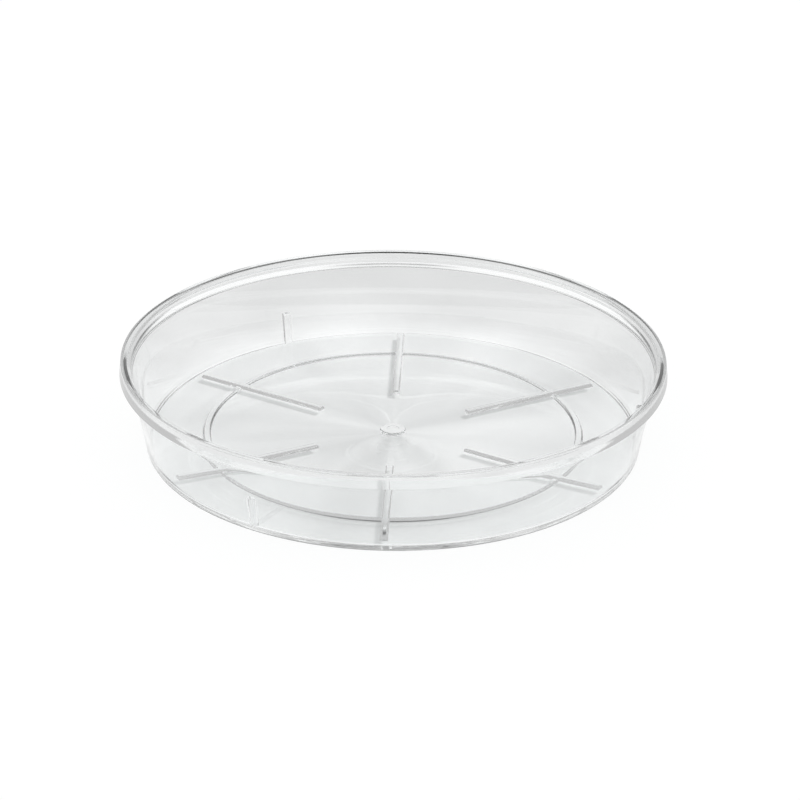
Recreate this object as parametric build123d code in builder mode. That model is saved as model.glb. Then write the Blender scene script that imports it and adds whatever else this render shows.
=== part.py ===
from build123d import *
import math
import os

# Clear plastic plant saucer, rim up, standing on its flat underside.
# Millimetres, +Z up, origin at the centre of the underside.
# It is a single moulding, made here as its zones, which meet face to face.

# Wall and rim
base_radius = 63.9  # outside of the wall, carried down to the underside
floor_thickness = 1.2
wall_thickness = 1.2  # level thickness where the wall meets the floor
wall_outer_flare = 4.0  # how far the outer face leans out between underside and collar
wall_inner_flare = 4.5  # how far the inner face leans out between floor and lip
wall_bow = 0.4  # hollow of both faces against a straight line
collar_foot_height = 18.9  # where the collar's underside leaves the wall
collar_foot_rise = 0.85  # how far that underside rises on its way out
collar_projection = 2.2  # how far the collar's foot stands out from the wall
collar_draft = 0.45  # how far the rim's outer face leans in over its height
collar_edge_radius = 0.1  # rounding of the collar's lower edge
collar_height = 2.65  # from there up to the inner edge, where the lip begins
step_foot_rise = 0.45  # from the inner edge up to the foot of the step
step_height = 1.0  # from the step's foot up to the ledge
step_lean = 0.15  # how far the step leans in
ledge_width = 1.1
crest_rise = 0.5  # from the ledge up to the crest, before its rounding
crest_width = 0.65  # from the crest in to the ledge
crest_radius = 0.23  # rounding of the crest's outer edge
heel_radius = 0.7  # rounding of the underside's outer edge
corner_radius = 1.0  # fillet between floor and wall
heel_flat = 0.6  # flat part of the heel, inside the fillet

# Ribs that lift the pot, in a star around the centre
rib_count = 6
rib_start_angle = 28.15  # degrees from +X
rib_wall_gap = 1.4  # from a rib's outer end to the fillet at the wall
rib_length = 38.3
rib_width = 2.0
rib_height = 0.9
rib_edge_radius = 0.45

# Low ring on the floor, which the ribs interrupt
ring_inset = 12.1  # from the ribs' outer ends to the middle of the ring
ring_width = 2.2
ring_height = 0.75
ring_edge_radius = 0.5

# Upright lugs on the inner face of the wall
lug_count = 3
lug_width = 2.0
lug_height = 8.35  # above the floor
lug_projection = 0.9  # inward from the wall, at the floor
lug_lean = 1.0  # how far a lug's front leans out over its height
lug_edge_radius = 0.4  # rounding of the lug's top

# Gate disc at the centre of the floor
gate_radius = 3.3
gate_height = 0.45
gate_edge_radius = 0.2
gate_dimple_radius = 1.6
gate_dimple_depth = 0.2

# Heights and places that follow from the sizes
lip_foot_height = collar_foot_height + collar_height
step_foot_height = lip_foot_height + step_foot_rise
ledge_height = step_foot_height + step_height
crest_height = ledge_height + crest_rise
wall_outer_foot = (base_radius, 0)
wall_outer_top = (base_radius + wall_outer_flare, collar_foot_height)
wall_inner_foot = (base_radius - wall_thickness, floor_thickness)
wall_inner_top = (wall_inner_foot[0] + wall_inner_flare, lip_foot_height)
plate_radius = wall_inner_foot[0] - corner_radius - heel_flat
collar_foot = (wall_outer_top[0] + collar_projection, collar_foot_height + collar_foot_rise)
lip_crest = (collar_foot[0] - collar_draft, crest_height)
ledge_outer = (lip_crest[0] - crest_width, ledge_height)
ledge_inner = (ledge_outer[0] - ledge_width, ledge_height)
step_foot = (ledge_inner[0] - step_lean, step_foot_height)
lip_rise = (lip_foot_height - collar_foot[1]) / (lip_crest[1] - collar_foot[1])
lip_outer_foot = (collar_foot[0] - collar_draft * lip_rise, lip_foot_height)
rib_outer_radius = wall_inner_foot[0] - corner_radius - rib_wall_gap
rib_middle_radius = rib_outer_radius - rib_length / 2
ring_radius = rib_outer_radius - ring_inset
rib_pitch = 360 / rib_count
lug_pitch = 360 / lug_count
lug_start_angle = rib_start_angle - rib_pitch / 2  # each lug stands midway between two ribs


def bowed(foot: tuple[float, float], top: tuple[float, float]) -> tuple[float, float]:
    """The point halfway up a wall face, drawn in towards the axis by the bow."""
    across = top[0] - foot[0]
    upward = top[1] - foot[1]
    length = math.hypot(across, upward)
    middle_radius = (foot[0] + top[0]) / 2 - wall_bow * upward / length
    middle_height = (foot[1] + top[1]) / 2 + wall_bow * across / length
    return (middle_radius, middle_height)


def upright(angle: float) -> Plane:
    """The upright plane through the axis, turned from +X by an angle in degrees."""
    return Plane.XZ.rotated((0, 0, angle))


def along_rib(rib_index: int) -> Plane:
    """The floor's top, turned so that one rib lies along its X axis."""
    return Plane.XY.offset(floor_thickness).rotated((0, 0, rib_start_angle + rib_index * rib_pitch))


def save(part: Part, name: str) -> None:
    """Labels a finished zone and writes it to a file of its own."""
    part.label = name
    export_step(part, f"parts/{name}.step")


os.makedirs("parts", exist_ok=True)

# Floor plate: the flat disc inside the wall's heel
with BuildPart() as floor_plate:
    with BuildSketch():
        Circle(plate_radius)
    extrude(amount=floor_thickness)
save(floor_plate.part, "floor_plate")

# Side wall: rounded heel, hollow flaring faces and the fillet onto the floor
with BuildPart() as side_wall:
    with BuildSketch(Plane.XZ) as wall_section:
        with BuildLine():
            Line((plate_radius, 0), wall_outer_foot)
            ThreePointArc(wall_outer_foot, bowed(wall_outer_foot, wall_outer_top), wall_outer_top)
            Line(wall_outer_top, (wall_outer_top[0], lip_foot_height))
            Line((wall_outer_top[0], lip_foot_height), wall_inner_top)
            ThreePointArc(wall_inner_top, bowed(wall_inner_foot, wall_inner_top), wall_inner_foot)
            Polyline(wall_inner_foot, (plate_radius, floor_thickness), (plate_radius, 0))
        make_face()
        heel_corner = wall_section.vertices().sort_by_distance(wall_outer_foot)[0]
        fillet(heel_corner, radius=heel_radius)
        floor_corner = wall_section.vertices().sort_by_distance(wall_inner_foot)[0]
        fillet(floor_corner, radius=corner_radius)
    revolve(axis=Axis.Z)
save(side_wall.part, "side_wall")

# Rim collar: the band that stands out from the wall below the lip
with BuildPart() as rim_collar:
    with BuildSketch(Plane.XZ) as collar_section:
        with BuildLine():
            Polyline(
                wall_outer_top,
                collar_foot,
                lip_outer_foot,
                (wall_outer_top[0], lip_foot_height),
                close=True,
            )
        make_face()
        collar_edge = collar_section.vertices().sort_by_distance(collar_foot)[0]
        fillet(collar_edge, radius=collar_edge_radius)
    revolve(axis=Axis.Z)
save(rim_collar.part, "rim_collar")

# Rim lip: a step up from the wall's inner edge, a level ledge and the rounded crest outside it
with BuildPart() as rim_lip:
    with BuildSketch(Plane.XZ) as lip_section:
        with BuildLine():
            Polyline(wall_inner_top, lip_outer_foot, lip_crest, ledge_outer, ledge_inner, step_foot, close=True)
        make_face()
        crest = lip_section.vertices().sort_by_distance(lip_crest)[0]
        fillet(crest, radius=crest_radius)
    revolve(axis=Axis.Z)
save(rim_lip.part, "rim_lip")

# Pot ribs: straight bars on the floor, each along its own radius
for rib_index in range(rib_count):
    with BuildPart() as pot_rib:
        with BuildSketch(along_rib(rib_index)):
            with Locations((rib_middle_radius, 0)):
                Rectangle(rib_length, rib_width)
        extrude(amount=rib_height)
        fillet(pot_rib.faces().sort_by(Axis.Z)[-1].edges(), radius=rib_edge_radius)
    save(pot_rib.part, f"pot_rib_{rib_index + 1}")

# Ring arcs: the ring's low bead between each rib's flank and the next
for arc_index in range(rib_count):
    with BuildPart() as ring_arc:
        with BuildSketch(upright(rib_start_angle + arc_index * rib_pitch)) as ring_section:
            with Locations((ring_radius, floor_thickness + ring_height / 2)):
                Rectangle(ring_width, ring_height)
            fillet(ring_section.vertices().group_by(Axis.Y)[-1], radius=ring_edge_radius)
        revolve(axis=Axis.Z, revolution_arc=rib_pitch)
        for rib_index in (arc_index, arc_index + 1):
            with BuildSketch(along_rib(rib_index)):
                with Locations((rib_middle_radius, 0)):
                    Rectangle(rib_length, rib_width)
            extrude(amount=rib_height, mode=Mode.SUBTRACT)
    save(ring_arc.part, f"ring_arc_{arc_index + 1}")

# Wall lugs: short uprights that grow out of the wall, whose face leans out more than theirs
lug_angle = math.degrees(lug_width / wall_inner_foot[0])
lug_depth = wall_thickness / 2  # how far the section reaches into the wall before the wall is taken off it
lug_wall_lean = wall_inner_flare * lug_height / (lip_foot_height - floor_thickness)
lug_front_foot = (wall_inner_foot[0] - lug_projection, floor_thickness)
lug_front_top = (lug_front_foot[0] + lug_lean, floor_thickness + lug_height)
lug_back_foot = (wall_inner_foot[0] + lug_depth, floor_thickness)
lug_back_top = (lug_back_foot[0] + lug_wall_lean, lug_front_top[1])
for lug_index in range(lug_count):
    lug_start = lug_start_angle + lug_index * lug_pitch - lug_angle / 2
    with BuildPart() as wall_lug:
        with BuildSketch(upright(lug_start)) as lug_section:
            with BuildLine():
                Polyline(lug_front_foot, lug_front_top, lug_back_top, lug_back_foot, close=True)
            make_face()
            lug_crest = lug_section.vertices().sort_by_distance(lug_front_top)[0]
            fillet(lug_crest, radius=lug_edge_radius)
            add(wall_section.sketch_local, mode=Mode.SUBTRACT)
        revolve(axis=Axis.Z, revolution_arc=lug_angle)
    save(wall_lug.part, f"wall_lug_{lug_index + 1}")

# Gate disc: a low disc with a shallow dimple
with BuildPart() as gate_disc:
    with BuildSketch(Plane.XY.offset(floor_thickness)):
        Circle(gate_radius)
    extrude(amount=gate_height)
    fillet(gate_disc.faces().sort_by(Axis.Z)[-1].edges(), radius=gate_edge_radius)
    with BuildSketch(Plane.XY.offset(floor_thickness + gate_height)):
        Circle(gate_dimple_radius)
    extrude(amount=-gate_dimple_depth, mode=Mode.SUBTRACT)
save(gate_disc.part, "gate_disc")
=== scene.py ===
"""Looks of the clear plant saucer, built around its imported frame.

The real saucer is a single moulding, so one closed shell stands for all the frame's zones. Clear solids
that only touch would each bend the light at the faces they share, and show seams that the moulding
doesn't have. Sizes are in metres.
"""

import logging
import math
from collections.abc import Iterable, Sequence
from dataclasses import dataclass, field
from enum import Enum

import bmesh
import bpy
from mathutils import Matrix, Vector


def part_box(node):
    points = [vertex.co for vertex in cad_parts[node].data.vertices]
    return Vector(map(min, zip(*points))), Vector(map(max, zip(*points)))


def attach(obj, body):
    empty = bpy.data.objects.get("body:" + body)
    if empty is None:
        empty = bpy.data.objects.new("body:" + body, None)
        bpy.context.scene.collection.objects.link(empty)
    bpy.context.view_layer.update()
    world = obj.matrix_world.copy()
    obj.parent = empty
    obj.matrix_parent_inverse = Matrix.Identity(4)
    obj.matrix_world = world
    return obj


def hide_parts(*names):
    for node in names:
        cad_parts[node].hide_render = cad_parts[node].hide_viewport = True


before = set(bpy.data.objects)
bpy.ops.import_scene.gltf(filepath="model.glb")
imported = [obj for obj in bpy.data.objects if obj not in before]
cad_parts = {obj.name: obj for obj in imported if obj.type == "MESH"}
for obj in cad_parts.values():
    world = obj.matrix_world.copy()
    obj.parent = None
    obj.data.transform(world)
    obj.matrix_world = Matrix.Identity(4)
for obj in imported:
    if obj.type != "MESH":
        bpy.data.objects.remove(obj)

LOG = logging.getLogger("saucer")
MM = 0.001  # metres in a millimetre
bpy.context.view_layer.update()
LEG_SHARE = 0.49  # an arc takes up at most this share of each line beside its corner
ARC_PROFILE = 0.5  # the bevel profile that is an arc
BOUNCES = 20  # enough for a ray to reach the depth at which the plastic's painted glow takes over
CLEAR_BOUNCES = 24  # layers of clear shadow that a ray may cross

Node = bpy.types.Node
NodeTree = bpy.types.NodeTree
Socket = bpy.types.NodeSocket
Stops = tuple[tuple[float, float], ...]  # elevations in degrees, each with a brightness


class Ray(Enum):
    """Kinds of ray that a material or the world tells apart, by Light Path's socket names."""

    CAMERA = "Is Camera Ray"
    SHADOW = "Is Shadow Ray"
    GLOSSY = "Is Glossy Ray"
    TRANSMITTED = "Is Transmission Ray"
    DIFFUSE = "Is Diffuse Ray"


def linear(hex_colour: str) -> tuple[float, float, float, float]:
    """Turns an sRGB colour into the linear one that shaders take.

    Args:
        hex_colour: Six hex digits, such as "f2f4f3".

    Returns:
        Red, green, blue and an alpha of one.
    """
    channels = (int(hex_colour[place : place + 2], 16) / 255 for place in (0, 2, 4))
    opened = [value / 12.92 if value <= 0.04045 else ((value + 0.055) / 1.055) ** 2.4 for value in channels]
    return (*opened, 1.0)


def add_node(tree: NodeTree, kind: str, settings: dict | None = None, links: dict | None = None) -> Node:
    """Adds one node with its settings and links.

    Args:
        tree: The node tree that gets it.
        kind: The node's type name.
        settings: Values by socket name or number, or by the name of a property of the node.
        links: Output sockets, by the name or number of the input that each feeds.

    Returns:
        The new node.
    """
    node = tree.nodes.new(kind)
    for name, value in (settings or {}).items():
        if isinstance(name, str) and name not in node.inputs:
            setattr(node, name, value)
        else:
            node.inputs[name].default_value = value
    for name, socket in (links or {}).items():
        tree.links.new(socket, node.inputs[name])
    return node


def empty_tree(owner: bpy.types.Material | bpy.types.World) -> NodeTree:
    """Switches an owner's nodes on and empties its tree.

    Args:
        owner: A material or a world.

    Returns:
        Its node tree, with no nodes.
    """
    owner.use_nodes = True
    owner.node_tree.nodes.clear()
    return owner.node_tree


def any_of(tree: NodeTree, rays: Sequence[Ray]) -> Socket:
    """Gives a socket that is 1 where a ray is of one of these kinds.

    Args:
        tree: The node tree that gets the nodes.
        rays: The kinds of ray.

    Returns:
        The socket.
    """
    path = add_node(tree, "ShaderNodeLightPath")
    socket = path.outputs[rays[0].value]
    for ray in rays[1:]:
        either = {0: socket, 1: path.outputs[ray.value]}
        socket = add_node(tree, "ShaderNodeMath", {"operation": "MAXIMUM"}, either).outputs[0]
    return socket


@dataclass(frozen=True)
class ClearPolystyrene:
    """Crystal polystyrene, injection moulded against polished steel.

    To the eye it is colourless and glossy. Its high IOR draws crisp dark lines along every edge, the melt's
    flow leaves faint waves in its faces, and use leaves a few fine scuffs.
    """

    name: str = "crystal_polystyrene"
    slot: str = "clear_plastic"
    tint: str = "fdfefe"
    shadow_tint: str = "f4f6f6"
    ior: float = 1.585
    polished_roughness: float = 0.006
    scuffed_roughness: float = 0.05
    painted_glow_depth: float = 15.0  # reflections inside the plastic after which it shows a painted glow, in place of light that haze would scatter
    # brightness of that painted glow
    painted_glow_level: float = 0.53
    gate_face: float = 2.9 * MM  # radius of the face where the sprue was sheared off
    gate_floor: float = 1.3 * MM  # height above which the plastic there belongs to that face
    gate_milkiness: float = 0.6
    scuff_size: float = 9 * MM
    scuffs_begin: float = 0.45  # noise value where the scuffs begin
    scuffs_full: float = 0.85  # and where they are densest
    wave_size: float = 16 * MM
    wave_height: float = 0.014 * MM
    ripple_size: float = 2.6 * MM
    ripple_height: float = 0.0008 * MM

    def add_clearness(self, tree: NodeTree, place: Socket) -> Socket:
        """Adds how clear the plastic is, which is less on the matt face where the sprue was sheared off.

        Args:
            tree: The material's node tree.
            place: Where on the saucer the surface is.

        Returns:
            The share of light that passes.
        """
        axes = add_node(tree, "ShaderNodeSeparateXYZ", links={0: place}).outputs
        level = add_node(tree, "ShaderNodeCombineXYZ", links={0: axes[0], 1: axes[1]}).outputs[0]
        length = add_node(tree, "ShaderNodeVectorMath", {"operation": "LENGTH"}, {0: level}).outputs["Value"]
        inside = {"operation": "LESS_THAN", 1: self.gate_face}
        is_inside = add_node(tree, "ShaderNodeMath", inside, {0: length}).outputs[0]
        above = {"operation": "GREATER_THAN", 1: self.gate_floor}
        is_above = add_node(tree, "ShaderNodeMath", above, {0: axes[2]}).outputs[0]
        both = {0: is_inside, 1: is_above}
        is_gate = add_node(tree, "ShaderNodeMath", {"operation": "MULTIPLY"}, both).outputs[0]
        less_clear = {"operation": "MULTIPLY_ADD", 1: -self.gate_milkiness, 2: 1.0}
        return add_node(tree, "ShaderNodeMath", less_clear, {0: is_gate}).outputs[0]

    def build(self) -> bpy.types.Material:
        """Builds the material.

        Returns:
            The material, which lets lamps through so that its shadow stays light.
        """
        material = bpy.data.materials.new(self.name)
        tree = empty_tree(material)
        place = add_node(tree, "ShaderNodeTexCoord").outputs["Object"]
        waves = {"Scale": 1 / self.wave_size, "Detail": 1.0}
        wave = add_node(tree, "ShaderNodeTexNoise", waves, {"Vector": place}).outputs[0]
        ripples = {"Scale": 1 / self.ripple_size, "Detail": 2.0}
        ripple = add_node(tree, "ShaderNodeTexNoise", ripples, {"Vector": place}).outputs[0]
        bump = {"Strength": 1.0, "Distance": self.wave_height}
        waved = add_node(tree, "ShaderNodeBump", bump, {"Height": wave}).outputs[0]
        bump = {"Strength": 1.0, "Distance": self.ripple_height}
        rippled = add_node(tree, "ShaderNodeBump", bump, {"Height": ripple, "Normal": waved}).outputs[0]
        scuffs = {"Scale": 1 / self.scuff_size, "Detail": 8.0}
        scuff = add_node(tree, "ShaderNodeTexNoise", scuffs, {"Vector": place}).outputs[0]
        ranges = {
            "From Min": self.scuffs_begin,
            "From Max": self.scuffs_full,
            "To Min": self.polished_roughness,
            "To Max": self.scuffed_roughness,
        }
        roughness = add_node(tree, "ShaderNodeMapRange", ranges, {"Value": scuff}).outputs[0]
        clearness = self.add_clearness(tree, place)
        surface = {"Roughness": roughness, "Normal": rippled, "Transmission Weight": clearness}
        clear = {"Base Color": linear(self.tint), "IOR": self.ior}
        plastic = add_node(tree, "ShaderNodeBsdfPrincipled", clear, surface).outputs[0]
        # Past that depth the plastic is a painted glow of even grey light, standing in for light scattered
        # inside it.
        depth = add_node(tree, "ShaderNodeLightPath").outputs["Ray Depth"]
        deeper = {"operation": "GREATER_THAN", 1: self.painted_glow_depth}
        is_deep = add_node(tree, "ShaderNodeMath", deeper, {0: depth}).outputs[0]
        glow = {"Color": linear("ffffff"), "Strength": self.painted_glow_level}
        painted_glow = add_node(tree, "ShaderNodeEmission", glow).outputs[0]
        with_painted_glow = add_node(tree, "ShaderNodeMixShader", links={0: is_deep, 1: plastic, 2: painted_glow}).outputs[0]
        pale = {"Color": linear(self.shadow_tint)}
        lets_through = add_node(tree, "ShaderNodeBsdfTransparent", pale).outputs[0]
        to_paper = any_of(tree, [Ray.SHADOW, Ray.DIFFUSE])
        mixed = add_node(tree, "ShaderNodeMixShader", links={0: to_paper, 1: with_painted_glow, 2: lets_through})
        add_node(tree, "ShaderNodeOutputMaterial", links={"Surface": mixed.outputs[0]})
        return material


@dataclass(frozen=True)
class Corner:
    """A corner of a section: its distance from the axis, its height, and the radius that rounds it."""

    radius: float
    height: float
    rounding: float = 0.0

    def point(self) -> Vector:
        """The corner's sharp place, as across and up."""
        return Vector((self.radius, self.height))


def arc_through(corner: Vector, before: Vector, after: Vector, rounding: float, step: float) -> list[Vector]:
    """Points of the arc that rounds one corner.

    Args:
        corner: The sharp corner.
        before: The corner before it.
        after: The corner after it.
        rounding: The arc's radius, cut down where the neighbours are too near for it.
        step: Degrees that each piece of the arc turns.

    Returns:
        The arc's points, from the side of the corner before to the side of the one after.
    """
    back, ahead = (before - corner), (after - corner)
    half = back.angle(ahead) / 2
    reach = min(rounding / math.tan(half), LEG_SHARE * back.length, LEG_SHARE * ahead.length)
    rounding = reach * math.tan(half)
    centre = corner + (back.normalized() + ahead.normalized()).normalized() * rounding / math.sin(half)
    start = corner + back.normalized() * reach - centre
    end = corner + ahead.normalized() * reach - centre
    first = math.atan2(start.y, start.x)
    turn = (math.atan2(end.y, end.x) - first + math.pi) % math.tau - math.pi
    pieces = max(3, round(abs(math.degrees(turn)) / step))
    angles = (first + turn * piece / pieces for piece in range(pieces + 1))
    return [centre + rounding * Vector((math.cos(angle), math.sin(angle))) for angle in angles]


def rounded(corners: Sequence[Corner], step: float = 15.0) -> list[Vector]:
    """Rounds the corners of an open section.

    Args:
        corners: The section's corners, in order.
        step: Degrees that each piece of an arc turns.

    Returns:
        The section's points.
    """
    points = [corners[0].point()]
    for before, corner, after in zip(corners, corners[1:], corners[2:]):
        if corner.rounding > 0:
            points += arc_through(corner.point(), before.point(), after.point(), corner.rounding, step)
        else:
            points.append(corner.point())
    points.append(corners[-1].point())
    return points


def bowed(foot: Vector, top: Vector, bow: float, pieces: int) -> list[Vector]:
    """Points of a wall face that is drawn in towards the axis between its ends.

    Args:
        foot: The face's lower end.
        top: Its upper end.
        bow: How far its middle lies from a straight line.
        pieces: How many pieces it has.

    Returns:
        The points between the two ends, from foot to top.
    """
    along = top - foot
    inward = Vector((-along.y, along.x)).normalized()
    shares = (piece / pieces for piece in range(1, pieces))
    return [foot + along * share + inward * bow * 4 * share * (1 - share) for share in shares]


def add_piece(name: str, shape: bmesh.types.BMesh) -> bpy.types.Object:
    """Makes an object of a shape.

    Args:
        name: The object's name.
        shape: Its geometry, which is freed.

    Returns:
        The object, in the scene's collection.
    """
    mesh = bpy.data.meshes.new(name)
    bmesh.ops.recalc_face_normals(shape, faces=shape.faces)
    shape.to_mesh(mesh)
    shape.free()
    piece = bpy.data.objects.new(name, mesh)
    bpy.context.collection.objects.link(piece)
    LOG.info("%s has %d faces", name, len(mesh.polygons))
    return piece


@dataclass
class Dish:
    """Floor, wall and rim: the round part of the moulding, made by turning its section about the axis."""

    base_radius: float = 63.9 * MM
    wall_thickness: float = 1.2 * MM
    outer_flare: float = 4.0 * MM
    inner_flare: float = 4.5 * MM
    bow: float = 0.4 * MM
    heel_rounding: float = 0.7 * MM
    corner_rounding: float = 1.0 * MM
    notch_rounding: float = 0.35 * MM
    collar_foot_rise: float = 0.85 * MM
    collar_draft: float = 0.45 * MM
    collar_edge_rounding: float = 0.1 * MM
    crest_corner_height: float = 23.5 * MM
    crest_rounding: float = 0.23 * MM
    crest_width: float = 0.65 * MM
    ledge_height: float = 23.0 * MM
    ledge_width: float = 1.1 * MM
    ledge_rounding: float = 0.3 * MM
    valley_rounding: float = 0.15 * MM
    step_lean: float = 0.15 * MM
    step_foot_height: float = 22.0 * MM
    lip_foot_height: float = 21.55 * MM
    ring_radius: float = 48.2 * MM
    ring_width: float = 2.2 * MM
    ring_rise: float = 0.45 * MM  # above the floor
    ring_slope: float = 0.5 * MM  # level width of each of its flanks
    ring_rounding: float = 0.5 * MM
    root_rounding: float = 0.12 * MM
    gate_rounding: float = 0.2 * MM
    gate_dimple_radius: float = 1.6 * MM
    gate_dimple_depth: float = 0.2 * MM
    segments: int = 576
    face_pieces: int = 10
    floor_top: float = field(default_factory=lambda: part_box("floor_plate")[1].z)
    collar_foot_height: float = field(default_factory=lambda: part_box("rim_collar")[0].z)
    rim_radius: float = field(default_factory=lambda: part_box("rim_collar")[1].x)
    gate_radius: float = field(default_factory=lambda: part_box("gate_disc")[1].x)
    gate_top: float = field(default_factory=lambda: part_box("gate_disc")[1].z)

    @property
    def outer_foot(self) -> Vector:
        """Where the wall's outer face would meet the underside."""
        return Vector((self.base_radius, 0.0))

    @property
    def outer_top(self) -> Vector:
        """Where the wall's outer face meets the collar."""
        return Vector((self.base_radius + self.outer_flare, self.collar_foot_height))

    @property
    def inner_foot(self) -> Vector:
        """Where the wall's inner face would meet the floor."""
        return Vector((self.base_radius - self.wall_thickness, self.floor_top))

    @property
    def inner_top(self) -> Vector:
        """Where the wall's inner face meets the lip."""
        return Vector((self.inner_foot.x + self.inner_flare, self.lip_foot_height))

    def rim_corners(self) -> list[Corner]:
        """The rim's corners, from the notch under the collar over the crest and the ledge to the inner edge.

        Returns:
            The corners, in order.
        """
        crest_radius = self.rim_radius - self.collar_draft
        ledge_outer = crest_radius - self.crest_width
        ledge_inner = ledge_outer - self.ledge_width
        collar_foot = self.collar_foot_height + self.collar_foot_rise
        return [
            Corner(*self.outer_top, self.notch_rounding),
            Corner(self.rim_radius, collar_foot, self.collar_edge_rounding),
            Corner(crest_radius, self.crest_corner_height, self.crest_rounding),
            Corner(ledge_outer, self.ledge_height, self.valley_rounding),
            Corner(ledge_inner, self.ledge_height, self.ledge_rounding),
            Corner(ledge_inner - self.step_lean, self.step_foot_height, self.valley_rounding),
            Corner(*self.inner_top, self.ledge_rounding),
        ]

    def ring_corners(self) -> list[Corner]:
        """The low ring's corners, from its outer root to its inner one.

        Returns:
            The corners, in order.
        """
        outer = self.ring_radius + self.ring_width / 2
        inner = self.ring_radius - self.ring_width / 2
        top = self.floor_top + self.ring_rise
        places = (
            (outer, self.floor_top),
            (outer - self.ring_slope, top),
            (inner + self.ring_slope, top),
            (inner, self.floor_top),
        )
        return [Corner(*place, self.ring_rounding) for place in places]

    def gate_corners(self) -> list[Corner]:
        """The gate disc's corners, from its root to the axis.

        Returns:
            The corners, in order.
        """
        dimple_floor = self.gate_top - self.gate_dimple_depth
        return [
            Corner(self.gate_radius, self.floor_top, self.root_rounding),
            Corner(self.gate_radius, self.gate_top, self.gate_rounding),
            Corner(self.gate_dimple_radius, self.gate_top, self.root_rounding),
            Corner(self.gate_dimple_radius, dimple_floor, self.root_rounding),
            Corner(0.0, dimple_floor),
        ]

    def section(self) -> list[Vector]:
        """The whole section, from the axis at the underside, round the rim, to the axis on the floor's top.

        Returns:
            The section's points, as across and up.
        """
        outer_face = bowed(self.outer_foot, self.outer_top, self.bow, self.face_pieces)
        inner_face = bowed(self.inner_foot, self.inner_top, self.bow, self.face_pieces)
        corners = [Corner(0.0, 0.0), Corner(*self.outer_foot, self.heel_rounding)]
        corners += [Corner(*point) for point in outer_face]
        corners += self.rim_corners()
        corners += [Corner(*point) for point in reversed(inner_face)]
        corners += [Corner(*self.inner_foot, self.corner_rounding)]
        corners += self.ring_corners() + self.gate_corners()
        return rounded(corners)

    def build(self) -> bpy.types.Object:
        """Turns the section about the axis.

        Returns:
            The dish, closed.
        """
        shape = bmesh.new()
        turns = [math.tau * segment / self.segments for segment in range(self.segments)]
        circles = []
        for across, up in self.section():
            if across == 0.0:
                circles.append([shape.verts.new((0.0, 0.0, up))])
            else:
                places = ((across * math.cos(turn), across * math.sin(turn), up) for turn in turns)
                circles.append([shape.verts.new(place) for place in places])
        for lower, upper in zip(circles, circles[1:]):
            for one in range(self.segments):
                two = (one + 1) % self.segments
                if len(lower) == 1:
                    shape.faces.new((lower[0], upper[two], upper[one]))
                elif len(upper) == 1:
                    shape.faces.new((lower[one], lower[two], upper[0]))
                else:
                    shape.faces.new((lower[one], lower[two], upper[two], upper[one]))
        return add_piece("dish", shape)


@dataclass
class RibStar:
    """The six straight ribs that lift the pot."""

    count: int = 6
    start_angle: float = 28.15  # degrees from +X
    outer_radius: float = 60.3 * MM
    length: float = 38.3 * MM
    width: float = 2.0 * MM
    rounding: float = 0.45 * MM
    edge_pieces: int = 5
    sunk: float = 0.4 * MM  # how far a rib's blank reaches into the floor before they are united
    top: float = field(default_factory=lambda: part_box("pot_rib_1")[1].z)
    floor_top: float = field(default_factory=lambda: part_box("floor_plate")[1].z)

    def build_one(self, number: int) -> bpy.types.Object:
        """Builds one rib.

        Args:
            number: Its place in the star, from zero.

        Returns:
            The rib's blank, with rounded top edges.
        """
        shape = bmesh.new()
        bmesh.ops.create_cube(shape, size=1.0)
        height = self.top - self.floor_top + self.sunk
        middle = Vector((self.outer_radius - self.length / 2, 0.0, self.top - height / 2))
        bmesh.ops.scale(shape, vec=(self.length, self.width, height), verts=shape.verts)
        bmesh.ops.translate(shape, vec=middle, verts=shape.verts)
        top_edges = [edge for edge in shape.edges if all(vert.co.z > middle.z for vert in edge.verts)]
        bmesh.ops.bevel(
            shape,
            geom=top_edges,
            offset=self.rounding,
            segments=self.edge_pieces,
            profile=ARC_PROFILE,
            affect="EDGES",
        )
        angle = math.radians(self.start_angle + number * 360 / self.count)
        bmesh.ops.rotate(shape, matrix=Matrix.Rotation(angle, 3, "Z"), verts=shape.verts)
        return add_piece(f"rib_{number + 1}", shape)

    def build(self) -> list[bpy.types.Object]:
        """All the ribs' blanks."""
        return [self.build_one(number) for number in range(self.count)]


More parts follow.
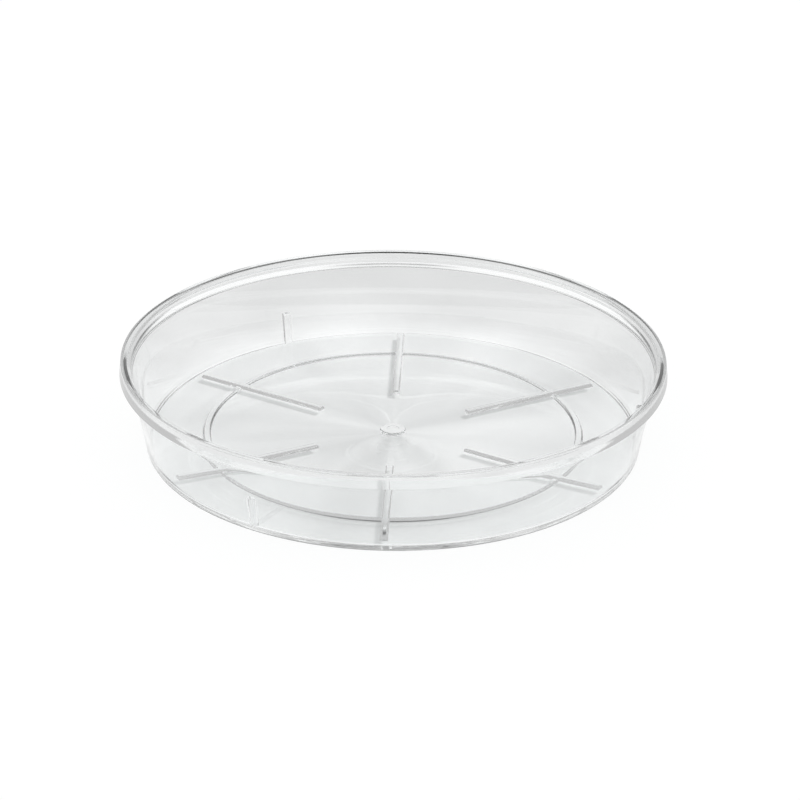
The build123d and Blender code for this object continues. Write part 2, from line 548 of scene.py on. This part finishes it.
@dataclass
class LugSet:
    """The three upright lugs on the wall's inner face."""

    dish: Dish
    count: int = 3
    start_angle: float = -1.85  # degrees from +X
    width: float = 2.0 * MM
    projection: float = 0.9 * MM
    lean: float = 1.0 * MM
    rounding: float = 0.4 * MM
    side_rounding: float = 0.3 * MM
    edge_pieces: int = 4
    sunk: float = 0.4 * MM  # how far a lug's blank reaches into the floor and wall before they are united
    top: float = field(default_factory=lambda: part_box("wall_lug_1")[1].z)

    def section(self) -> list[Vector]:
        """The lug's section in its upright middle plane.

        Returns:
            The section's points, from the front foot up and over to the back foot.
        """
        foot = self.dish.inner_foot
        wall_lean = (self.dish.inner_top.x - foot.x) * (self.top - foot.y) / (self.dish.inner_top.y - foot.y)
        front = foot.x - self.projection
        back = foot.x + self.sunk
        corners = [
            Corner(front, foot.y - self.sunk),
            Corner(front, foot.y),
            Corner(front + self.lean, self.top, self.rounding),
            Corner(back + wall_lean, self.top),
            Corner(back, foot.y - self.sunk),
        ]
        return rounded(corners)

    def build_one(self, number: int) -> bpy.types.Object:
        """Builds one lug.

        Args:
            number: Its place round the wall, from zero.

        Returns:
            The lug's blank, with rounded upright edges.
        """
        shape = bmesh.new()
        outline = self.section()
        sides = []
        for side in (-self.width / 2, self.width / 2):
            sides.append([shape.verts.new((across, side, up)) for across, up in outline])
        left, right = sides
        shape.faces.new(left)
        shape.faces.new(reversed(right))
        for one in range(len(outline)):
            two = (one + 1) % len(outline)
            shape.faces.new((left[one], right[one], right[two], left[two]))
        before_back = len(outline) - 3  # the last three sides of the outline lie in the wall and the floor
        edges = [shape.edges.get((row[one], row[one + 1])) for row in sides for one in range(before_back)]
        bmesh.ops.bevel(
            shape,
            geom=edges,
            offset=self.side_rounding,
            segments=self.edge_pieces,
            profile=ARC_PROFILE,
            affect="EDGES",
        )
        angle = math.radians(self.start_angle + number * 360 / self.count)
        bmesh.ops.rotate(shape, matrix=Matrix.Rotation(angle, 3, "Z"), verts=shape.verts)
        return add_piece(f"lug_{number + 1}", shape)

    def build(self) -> list[bpy.types.Object]:
        """All the lugs' blanks."""
        return [self.build_one(number) for number in range(self.count)]


@dataclass
class Moulding:
    """The whole saucer: the dish with its ribs and lugs, united into one closed shell."""

    finish: ClearPolystyrene = field(default_factory=ClearPolystyrene)
    dish: Dish = field(default_factory=Dish)
    ribs: RibStar = field(default_factory=RibStar)
    sharp_angle: float = 32.0  # degrees past which two faces meet in an edge and not in a curve

    def unite(self, base: bpy.types.Object, blanks: Iterable[bpy.types.Object]) -> bpy.types.Mesh:
        """Unites blanks with what they stand on.

        Args:
            base: The piece that carries the blanks.
            blanks: The pieces that join it, which are deleted.

        Returns:
            The mesh of all of them as one closed surface.
        """
        group = bpy.data.collections.new("blanks")
        blanks = list(blanks)
        for blank in blanks:
            group.objects.link(blank)
        union = base.modifiers.new("union", "BOOLEAN")
        union.operation = "UNION"
        union.solver = "MANIFOLD"
        union.operand_type = "COLLECTION"
        union.collection = group
        whole = base.evaluated_get(bpy.context.evaluated_depsgraph_get())
        mesh = bpy.data.meshes.new_from_object(whole)
        for part in [*blanks, base]:
            bpy.data.objects.remove(part)
        bpy.data.collections.remove(group)
        return mesh

    def build(self) -> bpy.types.Object:
        """Builds and dresses the shell.

        Returns:
            The shell, riding on the frame's only body.
        """
        lugs = LugSet(self.dish)
        mesh = self.unite(self.dish.build(), [*self.ribs.build(), *lugs.build()])
        mesh.name = "saucer_shell"
        mesh.polygons.foreach_set("use_smooth", [True] * len(mesh.polygons))
        mesh.set_sharp_from_angle(angle=math.radians(self.sharp_angle))
        mesh.materials.clear()
        mesh.materials.append(self.finish.build())
        shell = bpy.data.objects.new("saucer_shell", mesh)
        bpy.context.collection.objects.link(shell)
        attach(shell, "root")
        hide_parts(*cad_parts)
        LOG.info("%s has %d faces, of %s", shell.name, len(mesh.polygons), self.finish.name)
        return shell


@dataclass(frozen=True)
class PaperSweep:
    """A sheet of matt white paper under the saucer.

    Paper scatters light evenly and has no gloss. Its own glow lifts it to the pure white of the photograph's
    ground, and the rest of its brightness still takes the saucer's shadow. Through the plastic it shows
    painted light and shade that stand in for the light that the saucer bends onto it.
    """

    name: str = "matt_white_paper"
    colour: str = "898989"
    seen_glow: float = 0.76  # glow that the camera sees
    behind_glow: float = 0.73  # glow that shows through the plastic and in its gloss
    # The fans are painted light and shade on the paper round the gate, seen only through the plastic.
    fan_spread: float = 1.7  # radius, in cells of noise, of the circle that gives the fans their places
    fan_length: float = 60 * MM  # how far out a fan keeps its brightness
    fan_depth: float = 0.16
    fan_darkest: float = 0.25  # noise value of the darkest fans
    fan_lightest: float = 0.75
    painted_pool_inner: float = 62 * MM  # a painted pool of light, for the light that the dish gathers onto the paper under its floor, out to here
    painted_pool_outer: float = 80 * MM  # and none from here on
    open_share: float = 0.8  # brightness out there, against that under the floor
    shade_left: float = 1.3 * MM  # the ribs' painted shade on the paper falls a little to the left and the front
    shade_forward: float = 2.0 * MM
    shade_blur: float = 0.4 * MM
    shade_depth: float = 0.36
    star: RibStar = field(default_factory=RibStar)
    side: float = 6.0  # metres
    drop: float = 0.05 * MM  # the saucer's underside touches only at a few points, so a film of air is left

    def add_painted_light(self, tree: NodeTree) -> Socket:
        """Adds painted light and shade for what the saucer bends onto the paper: fans round the gate, and the
        ribs' shade.

        Args:
            tree: The paper's node tree.

        Returns:
            The brightness of what is seen through the plastic.
        """
        place = add_node(tree, "ShaderNodeTexCoord").outputs["Object"]
        length = add_node(tree, "ShaderNodeVectorMath", {"operation": "LENGTH"}, {0: place}).outputs["Value"]
        by_length = {"operation": "DIVIDE", 1: self.fan_length}
        outward = add_node(tree, "ShaderNodeMath", by_length, {0: length}).outputs[0]
        heading = add_node(tree, "ShaderNodeVectorMath", {"operation": "NORMALIZE"}, {0: place}).outputs[0]
        spread = {"operation": "SCALE", "Scale": self.fan_spread}
        apart = add_node(tree, "ShaderNodeVectorMath", spread, {0: heading}).outputs[0]
        axes = add_node(tree, "ShaderNodeSeparateXYZ", links={0: apart}).outputs
        polar = add_node(tree, "ShaderNodeCombineXYZ", links={0: axes[0], 1: axes[1], 2: outward}).outputs[0]
        soft = {"Scale": 1.0, "Detail": 2.0}
        # painted fans of lighter and darker light on the paper
        painted_fans = add_node(tree, "ShaderNodeTexNoise", soft, {"Vector": polar}).outputs[0]
        ranges = {
            "From Min": self.fan_darkest,
            "From Max": self.fan_lightest,
            "To Min": self.behind_glow * (1 - self.fan_depth),
            "To Max": self.behind_glow * (1 + self.fan_depth),
        }
        light = add_node(tree, "ShaderNodeMapRange", ranges, {"Value": painted_fans}).outputs[0]
        # painted pool of light: the paper under the dish's floor is brighter than beyond its foot
        ranges = {
            "From Min": self.painted_pool_inner,
            "From Max": self.painted_pool_outer,
            "To Min": 1.0,
            "To Max": self.open_share,
        }
        painted_pool = add_node(tree, "ShaderNodeMapRange", ranges, {"Value": length}).outputs[0]
        for share in (painted_pool, self.add_painted_rib_shade(tree, place)):
            product = add_node(tree, "ShaderNodeMath", {"operation": "MULTIPLY"}, {0: light, 1: share})
            light = product.outputs[0]
        return light

    def add_painted_rib_shade(self, tree: NodeTree, place: Socket) -> Socket:
        """Adds the painted soft shade of the ribs on the paper.

        Args:
            tree: The paper's node tree.
            place: Where on the paper the ray ends.

        Returns:
            The share of light that the painted shade leaves on the paper.
        """
        star, blur = self.star, self.shade_blur
        throw = (self.shade_left, self.shade_forward, 0.0)
        thrown = add_node(tree, "ShaderNodeVectorMath", {"operation": "ADD", 1: throw}, {0: place}).outputs[0]
        axes = add_node(tree, "ShaderNodeSeparateXYZ", links={0: thrown}).outputs
        length = add_node(tree, "ShaderNodeVectorMath", {"operation": "LENGTH"}, {0: thrown}).outputs["Value"]
        turn = {"operation": "ARCTAN2"}
        heading = add_node(tree, "ShaderNodeMath", turn, {0: axes[1], 1: axes[0]}).outputs[0]
        from_first = {"operation": "SUBTRACT", 1: math.radians(star.start_angle)}
        turned = add_node(tree, "ShaderNodeMath", from_first, {0: heading}).outputs[0]
        from_nearest = {"operation": "PINGPONG", 1: math.pi / star.count}
        aside = add_node(tree, "ShaderNodeMath", from_nearest, {0: turned}).outputs[0]
        sine = add_node(tree, "ShaderNodeMath", {"operation": "SINE"}, {0: aside}).outputs[0]
        across = add_node(tree, "ShaderNodeMath", {"operation": "MULTIPLY"}, {0: sine, 1: length}).outputs[0]
        inner_radius = star.outer_radius - star.length
        edges = (
            (length, star.outer_radius + blur, star.outer_radius - blur),
            (length, inner_radius - blur, inner_radius + blur),
        )
        flank = {"From Min": star.width / 2 + blur, "From Max": star.width / 2 - blur}
        shade = add_node(tree, "ShaderNodeMapRange", flank, {"Value": across}).outputs[0]
        for value, clear, dark in edges:
            edge = {"From Min": clear, "From Max": dark}
            inside = add_node(tree, "ShaderNodeMapRange", edge, {"Value": value}).outputs[0]
            product = add_node(tree, "ShaderNodeMath", {"operation": "MULTIPLY"}, {0: shade, 1: inside})
            shade = product.outputs[0]
        # painted shade: the paper is darker where the thrown ribs lie
        share = {"operation": "MULTIPLY_ADD", 1: -self.shade_depth, 2: 1.0}
        return add_node(tree, "ShaderNodeMath", share, {0: shade}).outputs[0]

    def build(self) -> bpy.types.Object:
        """Lays the sheet.

        Returns:
            The sheet.
        """
        shape = bmesh.new()
        bmesh.ops.create_grid(shape, x_segments=1, y_segments=1, size=self.side / 2)
        bmesh.ops.translate(shape, vec=(0.0, 0.0, -self.drop), verts=shape.verts)
        sheet = add_piece("paper_sweep", shape)
        material = bpy.data.materials.new(self.name)
        tree = empty_tree(material)
        paper = add_node(tree, "ShaderNodeBsdfDiffuse", {"Color": linear(self.colour)})
        by_camera = add_node(tree, "ShaderNodeLightPath").outputs[Ray.CAMERA.value]
        by_plastic = {0: any_of(tree, [Ray.GLOSSY, Ray.TRANSMITTED]), 1: self.add_painted_light(tree)}
        behind = add_node(tree, "ShaderNodeMath", {"operation": "MULTIPLY"}, by_plastic).outputs[0]
        seen = {"operation": "MULTIPLY_ADD", 1: self.seen_glow}
        level = add_node(tree, "ShaderNodeMath", seen, {0: by_camera, 2: behind}).outputs[0]
        glow = add_node(tree, "ShaderNodeEmission", links={"Strength": level}).outputs[0]
        both = add_node(tree, "ShaderNodeAddShader", links={0: paper.outputs[0], 1: glow})
        add_node(tree, "ShaderNodeOutputMaterial", links={"Surface": both.outputs[0]})
        sheet.data.materials.append(material)
        return sheet


@dataclass(frozen=True)
class Studio:
    """The room round the saucer, as gloss and glass see it, which draws the plastic's dark edges.

    Each side of it is a list of elevations in degrees with how bright the room is there. Matt things are lit
    evenly, so that the paper's shade stays soft.
    """

    beyond: Stops = ((0, 0.05), (14, 0.5), (26, 0.3), (32, 0.12), (46, 0.12), (68, 1.0), (90, 0.6))
    beside: Stops = ((0, 0.12), (16, 0.12), (24, 1.1), (56, 1.0), (70, 0.7), (90, 0.5))
    near: Stops = ((0, 0.0), (26, 0.05), (42, 1.0), (58, 0.9), (68, 0.0), (90, 0.1))
    zenith: float = 90.0  # elevation of straight up, in degrees
    narrowest: float = 0.2  # sine of the angle within which a wall of the room ahead or behind stands alone
    widest: float = 0.65  # sine of the angle at which it has given way to the sides

    def add_side(self, tree: NodeTree, share: Socket, stops: Stops) -> Socket:
        """Adds the brightness of one side of the room.

        Args:
            tree: The world's node tree.
            share: How high a direction is, from 0, level, to 1, straight up.
            stops: Elevations in degrees with their brightness.

        Returns:
            The brightness by elevation.
        """
        ramp = add_node(tree, "ShaderNodeValToRGB", links={0: share})
        elements = ramp.color_ramp.elements
        while len(elements) < len(stops):
            elements.new(0.5)  # in the middle, until it gets its place
        for element, (elevation, level) in zip(elements, stops):
            element.position = elevation / self.zenith
            element.color = (level, level, level, 1.0)
        return ramp.outputs[0]

    def build(self) -> None:
        """Sets the world."""
        world = bpy.data.worlds.new("studio")
        bpy.context.scene.world = world
        tree = empty_tree(world)
        direction = add_node(tree, "ShaderNodeTexCoord").outputs["Generated"]
        x, y, z = add_node(tree, "ShaderNodeSeparateXYZ", links={0: direction}).outputs
        level = add_node(tree, "ShaderNodeCombineXYZ", links={0: x, 1: y}).outputs[0]
        length = add_node(tree, "ShaderNodeVectorMath", {"operation": "LENGTH"}, {0: level}).outputs["Value"]
        rise = add_node(tree, "ShaderNodeMath", {"operation": "ARCTAN2"}, {0: z, 1: length}).outputs[0]
        to_share = {"operation": "DIVIDE", 1: math.radians(self.zenith)}
        height = add_node(tree, "ShaderNodeMath", to_share, {0: rise}).outputs[0]
        sideways = add_node(tree, "ShaderNodeMath", {"operation": "DIVIDE"}, {0: x, 1: length}).outputs[0]
        across = add_node(tree, "ShaderNodeMath", {"operation": "ABSOLUTE"}, {0: sideways}).outputs[0]
        ranges = {"interpolation_type": "SMOOTHSTEP", "From Min": self.narrowest, "From Max": self.widest}
        aside = add_node(tree, "ShaderNodeMapRange", ranges, {"Value": across}).outputs[0]
        is_near = add_node(tree, "ShaderNodeMath", {"operation": "LESS_THAN", 1: 0.0}, {0: y}).outputs[0]
        colours = {"data_type": "RGBA"}
        beyond, near, beside = (
            self.add_side(tree, height, stops) for stops in (self.beyond, self.near, self.beside)
        )
        walls = {0: is_near, 6: beyond, 7: near}
        ahead_or_behind = add_node(tree, "ShaderNodeMix", colours, walls).outputs[2]
        sides = {0: aside, 6: ahead_or_behind, 7: beside}
        around = add_node(tree, "ShaderNodeMix", colours, sides).outputs[2]
        room = add_node(tree, "ShaderNodeBackground", links={"Color": around}).outputs[0]
        even = add_node(tree, "ShaderNodeBackground", {"Color": linear("ffffff")}).outputs[0]
        by_plastic = any_of(tree, [Ray.GLOSSY, Ray.TRANSMITTED])
        mixed = add_node(tree, "ShaderNodeMixShader", links={0: by_plastic, 1: even, 2: room})
        add_node(tree, "ShaderNodeOutputWorld", links={"Surface": mixed.outputs[0]})
        LOG.info("%s is the world", world.name)


@dataclass(frozen=True)
class PhotoCamera:
    """The photograph's camera, found by fitting circles of the saucer to their places in it."""

    image_side: float = 800.0  # pixels
    focal_length: float = 2628.5  # pixels
    aim_across: float = 392.968  # pixels, where the middle of the floor ring lies
    aim_down: float = 429.746  # pixels
    distance: float = 682.9 * MM
    elevation: float = 25.9736  # degrees
    roll: float = 0.5316  # degrees
    sensor: float = 36.0  # millimetres, as Blender's cameras have it
    nearest: float = 0.01
    farthest: float = 20.0
    aim: Vector = field(default_factory=lambda: Vector((0.0, 0.0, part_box("floor_plate")[1].z)))

    def axes(self) -> Matrix:
        """The camera's right, up and forward directions, one to a row."""
        tilt = math.radians(self.elevation)
        looking = Matrix(
            ((1.0, 0.0, 0.0), (0.0, math.sin(tilt), math.cos(tilt)), (0.0, math.cos(tilt), -math.sin(tilt)))
        )
        middle = self.image_side / 2
        swing = math.atan2(self.aim_across - middle, self.focal_length)
        nod = math.atan2(middle - self.aim_down, self.focal_length)
        turned = Matrix.Rotation(swing, 3, "Y") @ Matrix.Rotation(-nod, 3, "X")
        rolled = Matrix.Rotation(-math.radians(self.roll), 3, "Z")
        return turned @ rolled @ looking

    def build(self) -> bpy.types.Object:
        """Places the camera and makes it the scene's.

        Returns:
            The camera.
        """
        data = bpy.data.cameras.new("photo_camera")
        data.sensor_width = self.sensor
        data.lens = self.focal_length / self.image_side * self.sensor
        data.clip_start = self.nearest
        data.clip_end = self.farthest
        camera = bpy.data.objects.new("photo_camera", data)
        bpy.context.collection.objects.link(camera)
        tilt = math.radians(self.elevation)
        looking = Vector((0.0, math.cos(tilt), -math.sin(tilt)))
        right, up, forward = self.axes()
        place = self.aim - looking * self.distance
        turn = Matrix((right, up, -forward)).transposed()
        camera.matrix_world = Matrix.Translation(place) @ turn.to_4x4()
        bpy.context.scene.camera = camera
        LOG.info("%s has a lens of %.1f mm", camera.name, data.lens)
        return camera


def set_render() -> None:
    """Sets the plain colour view and the number of times that light may bounce."""
    scene = bpy.context.scene
    scene.view_settings.view_transform = "Standard"
    scene.cycles.max_bounces = BOUNCES
    scene.cycles.transmission_bounces = BOUNCES
    scene.cycles.glossy_bounces = BOUNCES
    scene.cycles.transparent_max_bounces = CLEAR_BOUNCES


def main() -> None:
    """Builds the saucer, its stage and its camera."""
    logging.basicConfig(level=logging.INFO, format="%(name)s: %(message)s")
    Studio().build()
    PaperSweep().build()
    PhotoCamera().build()
    Moulding().build()
    set_render()


if __name__ == "__main__":
    main()
